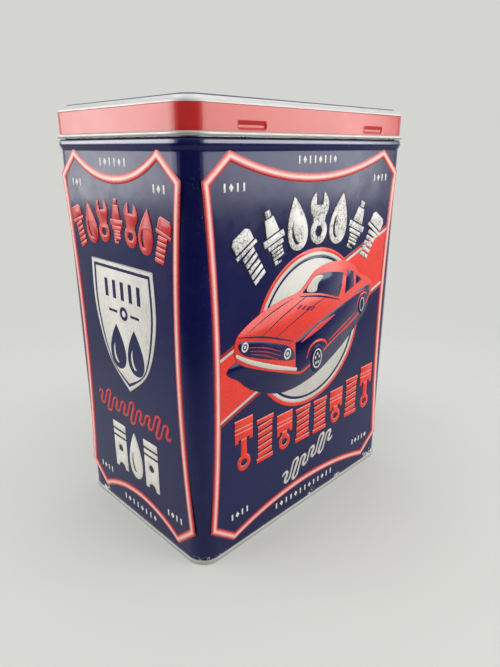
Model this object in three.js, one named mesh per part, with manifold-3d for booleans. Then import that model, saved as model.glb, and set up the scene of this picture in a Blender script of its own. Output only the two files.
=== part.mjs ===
// A rectangular tinplate storage can, made and printed like a motor oil can. Its hinged lid clips shut.
// Millimetres, +Z up. The origin is the middle of the base ring, on the surface that the can stands on.
// X runs along the two wide faces. The front faces -Y, and the lid's hinge is on the +Y side.

import * as THREE from "three";
import { mergeVertices } from "three/addons/utils/BufferGeometryUtils.js";
import Module from "manifold-3d";

const wasm = await Module();
wasm.setup();

// Driving dimensions

const WIDTH = 187.5; // outside of the body wall, along X
const DEPTH = 128.5; // outside of the body wall, along Y
const HEIGHT = 260; // from the base ring to the top of the lid
const CORNER = 12; // outside radius of the upright corners
const CORNER_STEPS = 6; // facets in each upright corner
const PLATE = 0.25; // thickness of the tinplate
const LAYER_GAP = 0.06; // gap between layers of plate in the bottom seam
const RUNNING_GAP = 0.07; // play of a hinge wire in its rolls

// Bottom seam: the body's edge and the bottom's edge, hooked into each other in five layers of plate.
const SEAM_HEIGHT = 2.85;
const BODY_HOOK_TOP = 2.2;
const END_HOOK_FOOT = 0.8;
const COUNTERSINK = 3.4; // height of the bottom panel above the surface that the can stands on
const BOTTOM_STEP = { inset: 8, rise: 1.2 }; // the stiffening step pressed into the bottom panel

// Body above the printed wall, as centrelines of the plate: an outward bead with a shelf on top, and a
// neck that stands inside the lid and ends in an outward curl.
const BEAD = { foot: 234.6, reach: 1.3, shelf: 240.9, radius: 1.7 };
const NECK_INSET = 2.9; // from the body wall's outside
const NECK_BEND = 0.6; // radius of the bend from the shelf to the neck
const NECK_CURL = { radius: 0.85, z: 250.3 }; // centreline radius of the curl, and its centre's height

// Lid
const SKIRT_GAP = 0.25; // from the body wall's outside to the skirt's inside
const LID_CURL = { radius: 0.95, z: 242.75 }; // its centre is also the hinge's axis
const SHOULDER_RADIUS = 4.175; // centreline radius of the rounded shoulder
const PANEL_RISE = 0.8; // the top panel stands this far above the shoulder
const PANEL_INSET = 4.4; // from the body wall's outside to the foot of the panel's step

// Catch dimples, pressed into the front skirt, so that they snap in under the neck's curl.
const CATCH = { spacing: 106, length: 20, height: 4.4, z: 246.8, depth: 0.95 };

// Hinge: two straps of the body, each rolled round a wire that the lid's curl holds.
const HINGE = { spacing: 106, strap: 14, strapFoot: 240.6, notch: 15.2, notchTop: 244.4, wire: 34 };

// Lock seam: the two edges of the body's sheet, folded together inside the back wall.
const LOCK_SEAM = { x: -70, width: 6, thickness: 0.5, foot: 4, top: 232 };

// Sections. A point is [outward offset from the body wall's outside, height].

// The points of an arc, both ends included. Angles are in degrees from outward, turning upward.
function arc(offset, z, radius, from, to, steps) {
  const points = [];
  for (let i = 0; i <= steps; i++) {
    const angle = THREE.MathUtils.degToRad(from + ((to - from) * i) / steps);
    points.push([offset + radius * Math.cos(angle), z + radius * Math.sin(angle)]);
  }
  return points;
}

// An S-shaped rise that starts and ends upright.
function flare([offset, z], [topOffset, topZ], steps) {
  const points = [];
  for (let i = 0; i <= steps; i++) {
    const ease = (1 - Math.cos((Math.PI * i) / steps)) / 2;
    points.push([offset + (topOffset - offset) * ease, z + ((topZ - z) * i) / steps]);
  }
  return points;
}

// The two faces of a plate that follows a centreline, mitred at its bends. With level set, the plate comes
// level to the centreline's first point.
function plateFaces(centreline, level) {
  const half = PLATE / 2;
  const normals = centreline.slice(1).map(([x, z], i) => {
    const dx = x - centreline[i][0];
    const dz = z - centreline[i][1];
    const length = Math.hypot(dx, dz);
    return [-dz / length, dx / length];
  });
  const faces = [[], []];
  centreline.forEach(([x, z], i) => {
    const after = normals[Math.min(i, normals.length - 1)];
    const before = i > 0 ? normals[i - 1] : level ? [0, 1] : after;
    const spread = 1 + before[0] * after[0] + before[1] * after[1];
    const mitre = [(before[0] + after[0]) / spread, (before[1] + after[1]) / spread];
    faces[0].push([x + mitre[0] * half, z + mitre[1] * half]);
    faces[1].push([x - mitre[0] * half, z - mitre[1] * half]);
  });
  return faces;
}

// Solids

// One ray for each step round the can: the centre of its corner's arc, and its direction.
function raysRoundCan() {
  const rays = [];
  const signs = [[1, 1], [-1, 1], [-1, -1], [1, -1]];
  signs.forEach(([sx, sy], corner) => {
    for (let i = 0; i <= CORNER_STEPS; i++) {
      const angle = (Math.PI / 2) * (corner + i / CORNER_STEPS);
      rays.push({
        x: sx * (WIDTH / 2 - CORNER),
        y: sy * (DEPTH / 2 - CORNER),
        cos: Math.cos(angle),
        sin: Math.sin(angle),
      });
    }
  });
  return rays;
}

// A closed triangle mesh as a solid, turned inside out first if its faces point inwards.
function solidFromMesh(positions, triangles) {
  const build = (faces) =>
    new wasm.Manifold(
      new wasm.Mesh({
        numProp: 3,
        vertProperties: new Float32Array(positions),
        triVerts: new Uint32Array(faces.flat()),
      }),
    );
  const made = build(triangles);
  return made.volume() > 0 ? made : build(triangles.map(([a, b, c]) => [a, c, b]));
}

// A plate bent along a centreline that runs round the whole can. With panel set, the centreline's first
// point is the rim of a flat panel that closes the can; without it, the plate is a ring.
function pressing(centreline, panel) {
  const [left, right] = plateFaces(centreline, panel);
  const section = [...left, ...right.reverse()];
  const rays = raysRoundCan();
  const positions = [];
  for (const ray of rays)
    for (const [offset, z] of section) {
      const reach = CORNER + offset;
      positions.push(ray.x + reach * ray.cos, ray.y + reach * ray.sin, z);
    }
  const vertex = (ray, i) => (ray % rays.length) * section.length + (i % section.length);
  const triangles = [];
  const strips = panel ? section.length - 1 : section.length;
  for (let ray = 0; ray < rays.length; ray++)
    for (let i = 0; i < strips; i++) {
      triangles.push([vertex(ray, i), vertex(ray + 1, i), vertex(ray + 1, i + 1)]);
      triangles.push([vertex(ray, i), vertex(ray + 1, i + 1), vertex(ray, i + 1)]);
    }
  if (panel) {
    const last = section.length - 1;
    const near = positions.length / 3;
    positions.push(0, 0, section[0][1], 0, 0, section[last][1]);
    for (let ray = 0; ray < rays.length; ray++) {
      triangles.push([vertex(ray + 1, 0), vertex(ray, 0), near]);
      triangles.push([vertex(ray, last), vertex(ray + 1, last), near + 1]);
    }
  }
  return solidFromMesh(positions, triangles);
}

// A three.js geometry, already in place, as a solid.
function solidFromGeometry(geometry) {
  geometry.deleteAttribute("normal");
  geometry.deleteAttribute("uv");
  const merged = mergeVertices(geometry, 1e-4);
  const index = [...merged.index.array];
  const triangles = [];
  for (let i = 0; i < index.length; i += 3) triangles.push(index.slice(i, i + 3));
  return solidFromMesh([...merged.attributes.position.array], triangles);
}

function box(x, y, z, sizeX, sizeY, sizeZ) {
  return solidFromGeometry(new THREE.BoxGeometry(sizeX, sizeY, sizeZ).translate(x, y, z));
}

// A bar along X with a section in the plane of Y and Z, centred on x.
function barAlongX(section, x, length) {
  const shape = new THREE.Shape(section.map(([y, z]) => new THREE.Vector2(y, z)));
  const geometry = new THREE.ExtrudeGeometry(shape, { depth: length, bevelEnabled: false });
  // Takes the shape's axes to Y and Z, and the extrusion's to X.
  const turn = new THREE.Matrix4().makeBasis(
    new THREE.Vector3(0, 1, 0),
    new THREE.Vector3(0, 0, 1),
    new THREE.Vector3(1, 0, 0),
  );
  return solidFromGeometry(geometry.applyMatrix4(turn).translate(x - length / 2, 0, 0));
}

// A lozenge with round ends that lies in the plane of X and Z, and reaches from y to y + depth.
function lozenge(x, y, z, length, height, depth) {
  const radius = height / 2;
  const reach = length / 2 - radius;
  const shape = new THREE.Shape();
  shape.absarc(reach, 0, radius, -Math.PI / 2, Math.PI / 2);
  shape.absarc(-reach, 0, radius, Math.PI / 2, (3 * Math.PI) / 2);
  const options = { depth, bevelEnabled: false, curveSegments: 5 };
  const geometry = new THREE.ExtrudeGeometry(shape, options).rotateX(Math.PI / 2);
  return solidFromGeometry(geometry.translate(x, y + depth, z));
}

// Sub-parts

const BOTH_SIDES = [-1, 1];

function bodyShell() {
  const wall = -PLATE / 2;
  const pitch = PLATE + LAYER_GAP; // from one layer of the bottom seam to the next
  const { reach, shelf, radius } = BEAD;
  const centreline = [
    [wall + 2 * pitch, BODY_HOOK_TOP],
    [wall + 2 * pitch, PLATE / 2 + pitch],
    [wall, PLATE / 2 + pitch],
    ...flare([wall, BEAD.foot], [reach, shelf - radius], 6),
    ...arc(reach - radius, shelf - radius, radius, 0, 90, 6).slice(1),
    ...arc(NECK_BEND - NECK_INSET, shelf + NECK_BEND, NECK_BEND, 270, 180, 3),
    ...arc(NECK_CURL.radius - NECK_INSET, NECK_CURL.z, NECK_CURL.radius, 180, -120, 14),
  ];
  let shell = pressing(centreline, false);
  for (const side of BOTH_SIDES) shell = shell.add(hingeStrap((side * HINGE.spacing) / 2));
  const { x, width, thickness, foot, top } = LOCK_SEAM;
  const inside = DEPTH / 2 - PLATE;
  const sunk = 0.05; // the fold is sunk into the wall by this much, so that the two join
  const fold = thickness + sunk;
  return shell.add(box(x, inside + sunk - fold / 2, (foot + top) / 2, width, fold, top - foot));
}

// A tongue of the bead, rolled over the hinge wire from the inside.
function hingeStrap(x) {
  const { radius, z } = LID_CURL;
  const axis = SKIRT_GAP + PLATE / 2 + radius;
  const centreline = [[axis - radius, HINGE.strapFoot], ...arc(axis, z, radius, 180, -110, 14)];
  const [left, right] = plateFaces(centreline, false);
  const section = [...left, ...right.reverse()].map(([offset, height]) => [DEPTH / 2 + offset, height]);
  return barAlongX(section, x, HINGE.strap);
}

function bottomEnd() {
  const pitch = PLATE + LAYER_GAP;
  const wall = -PLATE / 2;
  const inner = wall - pitch;
  const outer = wall + 3 * pitch;
  const { inset, rise } = BOTTOM_STEP;
  return pressing(
    [
      [-inset - rise, COUNTERSINK + rise],
      [-inset, COUNTERSINK],
      [inner - 0.6, COUNTERSINK],
      [inner, COUNTERSINK - 0.6],
      [inner, PLATE / 2],
      [outer, PLATE / 2],
      [outer, SEAM_HEIGHT - PLATE / 2 - 0.2],
      [outer - 0.2, SEAM_HEIGHT - PLATE / 2],
      [wall + pitch, SEAM_HEIGHT - PLATE / 2],
      [wall + pitch, END_HOOK_FOOT],
    ],
    true,
  );
}

function lidShell() {
  const skirt = SKIRT_GAP + PLATE / 2;
  const panel = HEIGHT - PLATE / 2;
  const shoulder = panel - PANEL_RISE;
  const curlCentre = skirt + LID_CURL.radius;
  let shell = pressing(
    [
      [-PANEL_INSET - PANEL_RISE, panel],
      [-PANEL_INSET, shoulder],
      ...arc(skirt - SHOULDER_RADIUS, shoulder - SHOULDER_RADIUS, SHOULDER_RADIUS, 90, 0, 6),
      ...arc(curlCentre, LID_CURL.z, LID_CURL.radius, 180, 485, 14),
    ],
    true,
  );
  for (const side of BOTH_SIDES) {
    shell = pressCatch(shell, (side * CATCH.spacing) / 2);
    shell = cutHingeNotch(shell, (side * HINGE.spacing) / 2);
  }
  return shell;
}

// Presses one dimple into the front skirt, keeping the plate's thickness at its bottom and rim.
function pressCatch(shell, x) {
  const outside = -(DEPTH / 2 + SKIRT_GAP + PLATE);
  const inside = outside + PLATE;
  const { length, height, z, depth } = CATCH;
  const sunk = PLATE / 2;
  const bump = lozenge(x, inside - sunk, z, length, height, depth + sunk);
  const hollow = lozenge(x, outside - 1, z, length - 2 * PLATE, height - 2 * PLATE, 1 + depth);
  return shell.add(bump).subtract(hollow);
}

// Cuts the curl and the foot of the rear skirt away where a hinge strap comes through.
function cutHingeNotch(shell, x) {
  const axis = DEPTH / 2 + SKIRT_GAP + PLATE / 2 + LID_CURL.radius;
  const foot = LID_CURL.z - 3;
  const height = HINGE.notchTop - foot;
  return shell.subtract(box(x, axis, foot + height / 2, HINGE.notch, 4, height));
}

function hingeWire(x) {
  const radius = LID_CURL.radius - PLATE / 2 - RUNNING_GAP;
  const axis = DEPTH / 2 + SKIRT_GAP + PLATE / 2 + LID_CURL.radius;
  const geometry = new THREE.CylinderGeometry(radius, radius, HINGE.wire, 14).rotateZ(Math.PI / 2);
  return solidFromGeometry(geometry.translate(x, axis, LID_CURL.z));
}

// Scene graph

function geometryOf(solid) {
  const mesh = solid.getMesh();
  const geometry = new THREE.BufferGeometry();
  const positions = new Float32Array(mesh.vertProperties);
  geometry.setAttribute("position", new THREE.BufferAttribute(positions, 3));
  geometry.setIndex(new THREE.BufferAttribute(new Uint32Array(mesh.triVerts), 1));
  geometry.computeVertexNormals();
  return geometry;
}

function material(color, roughness, metalness) {
  return new THREE.MeshStandardMaterial({ color, roughness, metalness });
}

const NAVY_LACQUER = material(0x171c3c, 0.25, 0.1);
const RED_LACQUER = material(0xc9352e, 0.25, 0.1);
const BARE_TINPLATE = material(0xc9c7bf, 0.3, 0.9);
const HINGE_STEEL = material(0x9a9a98, 0.35, 1);

const can = new THREE.Group();

function addPart(name, solid, look) {
  const mesh = new THREE.Mesh(geometryOf(solid), look);
  mesh.name = name;
  can.add(mesh);
}

addPart("body_shell", bodyShell(), NAVY_LACQUER);
addPart("bottom_end", bottomEnd(), BARE_TINPLATE);
addPart("lid_shell", lidShell(), RED_LACQUER);
addPart("hinge_wire_left", hingeWire(-HINGE.spacing / 2), HINGE_STEEL);
addPart("hinge_wire_right", hingeWire(HINGE.spacing / 2), HINGE_STEEL);

export default can;
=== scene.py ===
"""A rectangular tinplate can with a hinged lid, embossed and printed like a vintage motor oil can.

Shapes are worked out in millimetres and scaled to metres when a mesh is made. A plate's section is a list
of points (outward offset from the body wall's outside, height). The print's shapes are drawn on a face of
the can: u runs to the right from the face's middle, as one looks at it, and v upward from the table.
"""

import math

import bmesh
import bpy
from mathutils import Matrix, Vector
from mathutils.geometry import tessellate_polygon


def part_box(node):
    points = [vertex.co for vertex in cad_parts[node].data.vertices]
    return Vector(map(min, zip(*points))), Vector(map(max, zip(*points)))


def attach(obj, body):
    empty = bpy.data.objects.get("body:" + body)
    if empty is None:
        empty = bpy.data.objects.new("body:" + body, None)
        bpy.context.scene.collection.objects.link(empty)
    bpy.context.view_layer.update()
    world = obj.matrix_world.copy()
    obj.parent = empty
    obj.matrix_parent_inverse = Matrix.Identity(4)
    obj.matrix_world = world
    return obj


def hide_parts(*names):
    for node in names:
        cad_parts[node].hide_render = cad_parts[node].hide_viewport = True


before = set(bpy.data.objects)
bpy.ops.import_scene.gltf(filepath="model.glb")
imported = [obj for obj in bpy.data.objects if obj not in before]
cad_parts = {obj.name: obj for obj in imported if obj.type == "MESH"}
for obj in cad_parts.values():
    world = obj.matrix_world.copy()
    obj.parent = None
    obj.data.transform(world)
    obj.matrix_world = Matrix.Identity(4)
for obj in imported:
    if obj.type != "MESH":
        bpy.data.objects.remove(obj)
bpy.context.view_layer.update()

MM = 0.001

# The can, with its CAD model's sizes. The bead, the catches and the corners' facets are finer here.
WIDTH = 187.5  # outside of the body wall, along X
DEPTH = 128.5  # outside of the body wall, along Y
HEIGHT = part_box("lid_shell")[1].z / MM
CORNER = 12.0  # outside radius of the upright corners
CORNER_STEPS = 24
PLATE = 0.25  # thickness of the tinplate
WALL = -PLATE / 2  # offset of the body wall's centreline

LAYER_PITCH = 0.31  # from one layer of the bottom seam to the next
SEAM_HEIGHT, BODY_HOOK_TOP, END_HOOK_FOOT = 2.85, 2.2, 0.8
COUNTERSINK, STEP_INSET, STEP_RISE = 3.4, 8.0, 1.2  # the bottom's panel and its stiffening step
LOCK_SEAM_X, LOCK_SEAM_WIDTH, LOCK_SEAM_THICKNESS = -70.0, 6.0, 0.5
LOCK_SEAM_FOOT, LOCK_SEAM_TOP = 4.0, 232.0

BEAD_FOOT, BEAD_REACH, SHELF, BEAD_RADIUS = 234.6, 1.3, 240.9, 1.3
BEAD_BAND = 1.0  # height of the upright band under the bead's rounded top
NECK_INSET, NECK_BEND = 2.9, 0.6
NECK_CURL_RADIUS, NECK_CURL_Z = 0.85, 250.3

SKIRT = 0.375  # offset of the lid skirt's centreline
LID_CURL_RADIUS, LID_CURL_Z = 0.95, 242.75
SHOULDER_RADIUS = 4.175
PANEL_RISE, PANEL_INSET = 0.8, 4.4
BARE_EDGE = 255.9  # the lid's lacquer stops here, and its shoulder is bare
SHADE_LINE = 0.5  # height of the darker line along the lacquer's edge, painted shade where the shoulder turns down into the skirt
CATCH_SPACING, CATCH_LENGTH, CATCH_Z, CATCH_HEIGHT, CATCH_DEPTH = 106.0, 20.0, 246.7, 4.4, 0.9

HINGE_SPACING, STRAP_LENGTH, STRAP_FOOT = 106.0, 14.0, 240.6
NOTCH_LENGTH, NOTCH_TOP = 15.2, 244.4


# Sections


def arc(offset, z, radius, start, end, steps):
    """Points of an arc, both ends included. Angles are in degrees from outward, turning upward."""
    angles = [math.radians(start + (end - start) * i / steps) for i in range(steps + 1)]
    return [(offset + radius * math.cos(a), z + radius * math.sin(a)) for a in angles]


def flare(foot, top, steps):
    """An S-shaped rise that starts and ends upright."""
    points = []
    for i in range(steps + 1):
        ease = (1 - math.cos(math.pi * i / steps)) / 2
        points.append((foot[0] + (top[0] - foot[0]) * ease, foot[1] + (top[1] - foot[1]) * i / steps))
    return points


def plate_faces(points, level):
    """The two faces of a plate that follows a centreline, mitred at its bends."""
    normals = []
    for (x0, z0), (x1, z1) in zip(points, points[1:]):
        length = math.hypot(x1 - x0, z1 - z0)
        normals.append(((z0 - z1) / length, (x1 - x0) / length))
    left, right = [], []
    for i, (x, z) in enumerate(points):
        after = normals[min(i, len(normals) - 1)]
        before = normals[i - 1] if i else ((0.0, 1.0) if level else after)
        spread = 1 + before[0] * after[0] + before[1] * after[1]
        mx = (before[0] + after[0]) / spread * PLATE / 2
        mz = (before[1] + after[1]) / spread * PLATE / 2
        left.append((x + mx, z + mz))
        right.append((x - mx, z - mz))
    return left, right


# Meshes


def finish_mesh(name, vertices, faces, materials, face_materials, smooth_angle=32.0):
    """An object from a closed mesh, in millimetres, with its faces turned outward."""
    mesh = bpy.data.meshes.new(name)
    mesh.from_pydata([Vector(v) * MM for v in vertices], [], faces)
    for material in materials:
        mesh.materials.append(material)
    mesh.polygons.foreach_set("material_index", face_materials)
    work = bmesh.new()
    work.from_mesh(mesh)
    bmesh.ops.recalc_face_normals(work, faces=work.faces)
    work.to_mesh(mesh)
    work.free()
    mesh.shade_smooth()
    mesh.set_sharp_from_angle(angle=math.radians(smooth_angle))
    obj = bpy.data.objects.new(name, mesh)
    bpy.context.scene.collection.objects.link(obj)
    return obj


def rays_round_can(front_columns):
    """The columns of a pressing, anticlockwise from +X: the point each starts from, and its direction."""
    rays = []
    edge = 0.7  # a column this far into each straight run keeps the shading of the flats flat
    runs = [(1, 1), (-1, 1), (-1, -1), (1, -1)]
    for corner, (sx, sy) in enumerate(runs):
        cx, cy = sx * (WIDTH / 2 - CORNER), sy * (DEPTH / 2 - CORNER)
        for i in range(CORNER_STEPS + 1):
            angle = math.pi / 2 * (corner + i / CORNER_STEPS)
            rays.append((cx, cy, math.cos(angle), math.sin(angle)))
        nx, ny = math.cos(math.pi / 2 * (corner + 1)), math.sin(math.pi / 2 * (corner + 1))
        ax, ay = -ny, nx  # the direction of the straight run that follows this corner
        run = 2 * (abs(ax) * (WIDTH / 2 - CORNER) + abs(ay) * (DEPTH / 2 - CORNER))
        along = [edge, run - edge]
        if corner == 2:
            along = sorted(along + [x + run / 2 for x in front_columns])
        rays += [(cx + ax * t, cy + ay * t, nx, ny) for t in along]
    return rays


def pressing(name, zones, inside, panel, front_columns=(), dent=None):
    """A plate bent along a section that runs round the can. zones is a list of (material for the outside,
    points). With panel set, the first point is the rim of a flat panel that closes the can."""
    points = [p for _, zone in zones for p in zone]
    printed = [material for material, zone in zones for _ in zone]
    left, right = plate_faces(points, panel)
    section = left + right[::-1]
    materials = list(dict.fromkeys(printed + [inside]))
    outside_first = left[len(left) // 2][0] > right[len(right) // 2][0] or panel
    outer = [materials.index(m) for m in printed[1:]]
    inner = [materials.index(inside)] * len(outer)
    strips = outer + [materials.index(inside)] + inner if outside_first else inner + [0] + outer[::-1]
    strips.append(materials.index(inside))
    rays = rays_round_can(front_columns)
    vertices, faces, face_materials = [], [], []
    for cx, cy, cos, sin in rays:
        for offset, z in section:
            reach = CORNER + offset - (dent(cx, z) if dent and sin < -0.999 else 0.0)
            vertices.append((cx + reach * cos, cy + reach * sin, z))
    n, count = len(section), len(rays)
    for ray in range(count):
        a, b = ray * n, (ray + 1) % count * n
        for i in range(n - 1 if panel else n):
            j = (i + 1) % n
            faces.append((a + i, b + i, b + j, a + j))
            face_materials.append(strips[i])
    if panel:
        faces += [[ray * n for ray in range(count)], [ray * n + n - 1 for ray in range(count)]]
        face_materials += [strips[0], materials.index(inside)]
    return finish_mesh(name, vertices, faces, materials, face_materials)


def bar_along_x(name, section, x, length, material):
    """A bar with a section of (y, z) points, centred on x."""
    n = len(section)
    vertices = [(x + side * length / 2, y, z) for side in (-1, 1) for y, z in section]
    faces = [(i, (i + 1) % n, (i + 1) % n + n, i + n) for i in range(n)]
    faces += [list(range(n)), list(range(n, 2 * n))]
    return finish_mesh(name, vertices, faces, [material], [0] * len(faces))


def joined(name, objects):
    """The objects as one, under a new name."""
    with bpy.context.temp_override(active_object=objects[0], selected_editable_objects=objects):
        bpy.ops.object.join()
    objects[0].name = objects[0].data.name = name
    return objects[0]


def cut(obj, cutters):
    """Cuts the cutters out of obj, and removes them."""
    for cutter in cutters:
        boolean = obj.modifiers.new("cut", "BOOLEAN")
        boolean.object = cutter
        boolean.operation = "DIFFERENCE"
        boolean.solver = "EXACT"
    graph = bpy.context.evaluated_depsgraph_get()
    mesh = bpy.data.meshes.new_from_object(obj.evaluated_get(graph))
    obj.modifiers.clear()
    obj.data = mesh
    for cutter in cutters:
        bpy.data.objects.remove(cutter)
    mesh.set_sharp_from_angle(angle=math.radians(32.0))


# Materials


def new_material(name):
    material = bpy.data.materials.new(name)
    material.use_nodes = True
    tree = material.node_tree
    return material, tree, tree.nodes["Principled BSDF"]


def feed(tree, made, inputs):
    """Sets each of a node's inputs to a value, or links it to a socket."""
    for key, value in inputs.items():
        if isinstance(value, bpy.types.NodeSocket):
            tree.links.new(value, made.inputs[key])
        else:
            made.inputs[key].default_value = value


def node(tree, kind, inputs, **settings):
    """A new node with its settings and inputs."""
    made = tree.nodes.new("ShaderNode" + kind)
    for key, value in settings.items():
        setattr(made, key, value)
    feed(tree, made, inputs)
    return made


def place(tree):
    """The position in the row's frame, in metres: every mesh is made in place."""
    return node(tree, "TexCoord", {}).outputs["Object"]


def noise(tree, scale, detail, roughness=0.55, stretch=(1, 1, 1)):
    """Noise over the object, with scale in features per metre."""
    mapped = node(tree, "Mapping", {"Vector": place(tree), "Scale": stretch})
    inputs = {"Vector": mapped.outputs[0], "Scale": scale, "Detail": detail, "Roughness": roughness}
    return node(tree, "TexNoise", inputs).outputs["Fac"]


def remap(tree, value, low, high, to_low=0.0, to_high=1.0):
    """value from low..high to to_low..to_high, clamped and smoothed."""
    inputs = {"Value": value, "From Min": low, "From Max": high, "To Min": to_low, "To Max": to_high}
    return node(tree, "MapRange", inputs, interpolation_type="SMOOTHSTEP").outputs["Result"]


def math_node(tree, operation, a, b=0.5, c=0.0):
    return node(tree, "Math", {0: a, 1: b, 2: c}, operation=operation).outputs[0]


def mix(tree, factor, a, b):
    """A blend of two colours, or of a colour and another blend."""
    a, b = ((*colour, 1) if isinstance(colour, tuple) else colour for colour in (a, b))
    return node(tree, "Mix", {0: factor, 6: a, 7: b}, data_type="RGBA").outputs[2]


def wavy_plate(tree, shader):
    """The shallow waves of thin plate, and the fine orange peel of its lacquer."""
    waves = {"Height": noise(tree, 14, 1.0), "Distance": 0.6 * MM}
    peel = {"Height": noise(tree, 900, 2.0), "Distance": 0.012 * MM}
    peel["Normal"] = node(tree, "Bump", waves).outputs[0]
    feed(tree, shader, {"Normal": node(tree, "Bump", peel).outputs[0]})


def scaled(colour, factor):
    return tuple(part * factor for part in colour)


DUST = (0.32, 0.31, 0.30)
RUBBED_TIN = (0.62, 0.61, 0.57)
DULL_TIN = (0.36, 0.34, 0.30)


def foot_wear(tree):
    """Where the lacquer is rubbed off just above the bottom seam: 1 where it is gone. Corners wear most."""
    split = node(tree, "SeparateXYZ", {0: place(tree)}).outputs
    low = remap(tree, split["Z"], 0.003, 0.012, 1.0, 0.0)
    across = math_node(tree, "MULTIPLY", math_node(tree, "ABSOLUTE", split["X"]), 1 / (WIDTH * MM))
    along = math_node(tree, "MULTIPLY", math_node(tree, "ABSOLUTE", split["Y"]), 1 / (DEPTH * MM))
    corner = remap(tree, math_node(tree, "ADD", across, along), 0.85, 0.94, 0.0, 0.52)
    patches = remap(tree, noise(tree, 33, 2.0), 0.49, 0.64)
    amount = math_node(tree, "MULTIPLY", low, math_node(tree, "MAXIMUM", patches, corner))
    grain = noise(tree, 420, 6.0, 0.8)
    return remap(tree, math_node(tree, "MULTIPLY_ADD", amount, 0.27, grain), 0.70, 0.76)


def lacquer(name, colour, shade, roughness=0.17, coat=0.0, sheen_tint=(1.0, 1.0, 1.0)):
    """Printed lacquer over tinplate: its colour drifts a little, and its foot is scuffed."""
    material, tree, shader = new_material(name)
    drift = mix(tree, remap(tree, noise(tree, 22, 3.0), 0.3, 0.7), colour, shade)
    dusty = mix(tree, remap(tree, noise(tree, 2600, 2.0, 0.6), 0.70, 0.76), drift, DUST)
    rough = remap(tree, noise(tree, 60, 5.0, 0.7), 0.3, 0.7, roughness - 0.05, roughness + 0.07)
    inputs = {
        "Base Color": mix(tree, foot_wear(tree), dusty, RUBBED_TIN),
        "Roughness": rough,
        "Specular IOR Level": 0.31,
        "Specular Tint": (*sheen_tint, 1),
        "Coat Weight": coat,
        "Coat Roughness": 0.2,
    }
    feed(tree, shader, inputs)
    wavy_plate(tree, shader)
    return material


def distressed_print(name, colour, under, amount):
    """Ink with speckled wear that lets the colour under it through. amount is 0 for none to 1 for a lot."""
    material, tree, shader = new_material(name)
    patches = remap(tree, noise(tree, 75, 3.0), 0.38, 0.54)
    grain = remap(tree, noise(tree, 950, 5.0, 0.8), 0.50, 0.55)
    fine = remap(tree, noise(tree, 2600, 3.0, 0.7), 0.64, 0.70)
    wear = math_node(tree, "MAXIMUM", math_node(tree, "MULTIPLY", grain, patches), fine)
    worn = math_node(tree, "MULTIPLY", wear, amount)
    drift = mix(tree, noise(tree, 50, 4.0), colour, scaled(colour, 0.86))
    rough = remap(tree, noise(tree, 70, 5.0, 0.7), 0.3, 0.7, 0.24, 0.34)
    inputs = {"Base Color": mix(tree, worn, drift, under), "Roughness": rough, "Specular IOR Level": 0.36}
    feed(tree, shader, inputs)
    wavy_plate(tree, shader)
    return material


def bare_tinplate(name, colour=(0.62, 0.61, 0.58), roughness=0.3, metallic=1.0):
    """Tinplate under clear lacquer, with the fine lines of the rolling mill and a few dull patches."""
    material, tree, shader = new_material(name)
    lines = remap(tree, noise(tree, 220, 3.0, 0.6, stretch=(0.05, 0.05, 6)), 0.35, 0.65)
    dull = math_node(tree, "MULTIPLY", remap(tree, noise(tree, 90, 5.0, 0.7), 0.52, 0.66), 0.4)
    tone = mix(tree, dull, mix(tree, lines, colour, scaled(colour, 0.84)), DULL_TIN)
    rough = remap(tree, noise(tree, 120, 4.0), 0.35, 0.65, roughness - 0.06, roughness + 0.12)
    feed(tree, shader, {"Base Color": tone, "Roughness": rough, "Metallic": metallic})
    wavy_plate(tree, shader)
    return material


NAVY_COLOUR = (0.003, 0.004, 0.040)
NAVY = lacquer("navy_lacquer", NAVY_COLOUR, (0.004, 0.005, 0.048), sheen_tint=(0.86, 0.88, 1.0))
# The bead's navy: a glossier lacquer, and lighter than the navy elsewhere as a painted highlight on the
# bead's rounded top.
BEAD_HIGHLIGHT_NAVY = lacquer("bead_lacquer_painted_highlight", (0.006, 0.007, 0.055), (0.008, 0.009, 0.062), 0.14, 0.9)
DARK_NAVY = lacquer("dark_navy_print", (0.0018, 0.0022, 0.014), (0.0025, 0.003, 0.018))
RED = distressed_print("red_print", (0.64, 0.031, 0.015), NAVY_COLOUR, 0.25)
CRIMSON = distressed_print("crimson_print", (0.48, 0.022, 0.018), NAVY_COLOUR, 0.3)
DEEP_RED = distressed_print("deep_red_print", (0.32, 0.014, 0.022), NAVY_COLOUR, 0.3)
ROSE = distressed_print("rose_print", (0.62, 0.085, 0.075), NAVY_COLOUR, 0.2)
PINK = distressed_print("pink_print", (0.68, 0.22, 0.18), NAVY_COLOUR, 0.12)
PALE_PINK = distressed_print("pale_pink_print", (0.68, 0.46, 0.40), NAVY_COLOUR, 0.12)
CREAM = distressed_print("cream_print", (0.48, 0.465, 0.415), NAVY_COLOUR, 0.12)
BRIGHT_CREAM = distressed_print("bright_cream_print", (0.60, 0.58, 0.53), NAVY_COLOUR, 0.2)
WORN_CREAM = distressed_print("worn_cream_print", (0.63, 0.61, 0.565), NAVY_COLOUR, 0.85)
LID_RED = lacquer(
    "red_lacquer", (0.35, 0.013, 0.013), (0.39, 0.017, 0.017), coat=0.36, sheen_tint=(1.0, 0.80, 0.70)
)
# A darker red: painted shade along the top edge of the skirt's lacquer and in the crease where the skirt
# turns into its curl.
LID_SHADE_RED = lacquer("lid_painted_shade_red", (0.20, 0.006, 0.008), (0.24, 0.008, 0.010), 0.6)
TIN = bare_tinplate("bare_tinplate")
SATIN_TIN = bare_tinplate("satin_tinplate", (0.52, 0.515, 0.51), 0.46, 0.55)
INNER_TIN = bare_tinplate("inner_tinplate", (0.46, 0.45, 0.43), 0.48, 0.6)
STEEL = bare_tinplate("hinge_steel", (0.42, 0.41, 0.40), 0.36)


# The pressings


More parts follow.
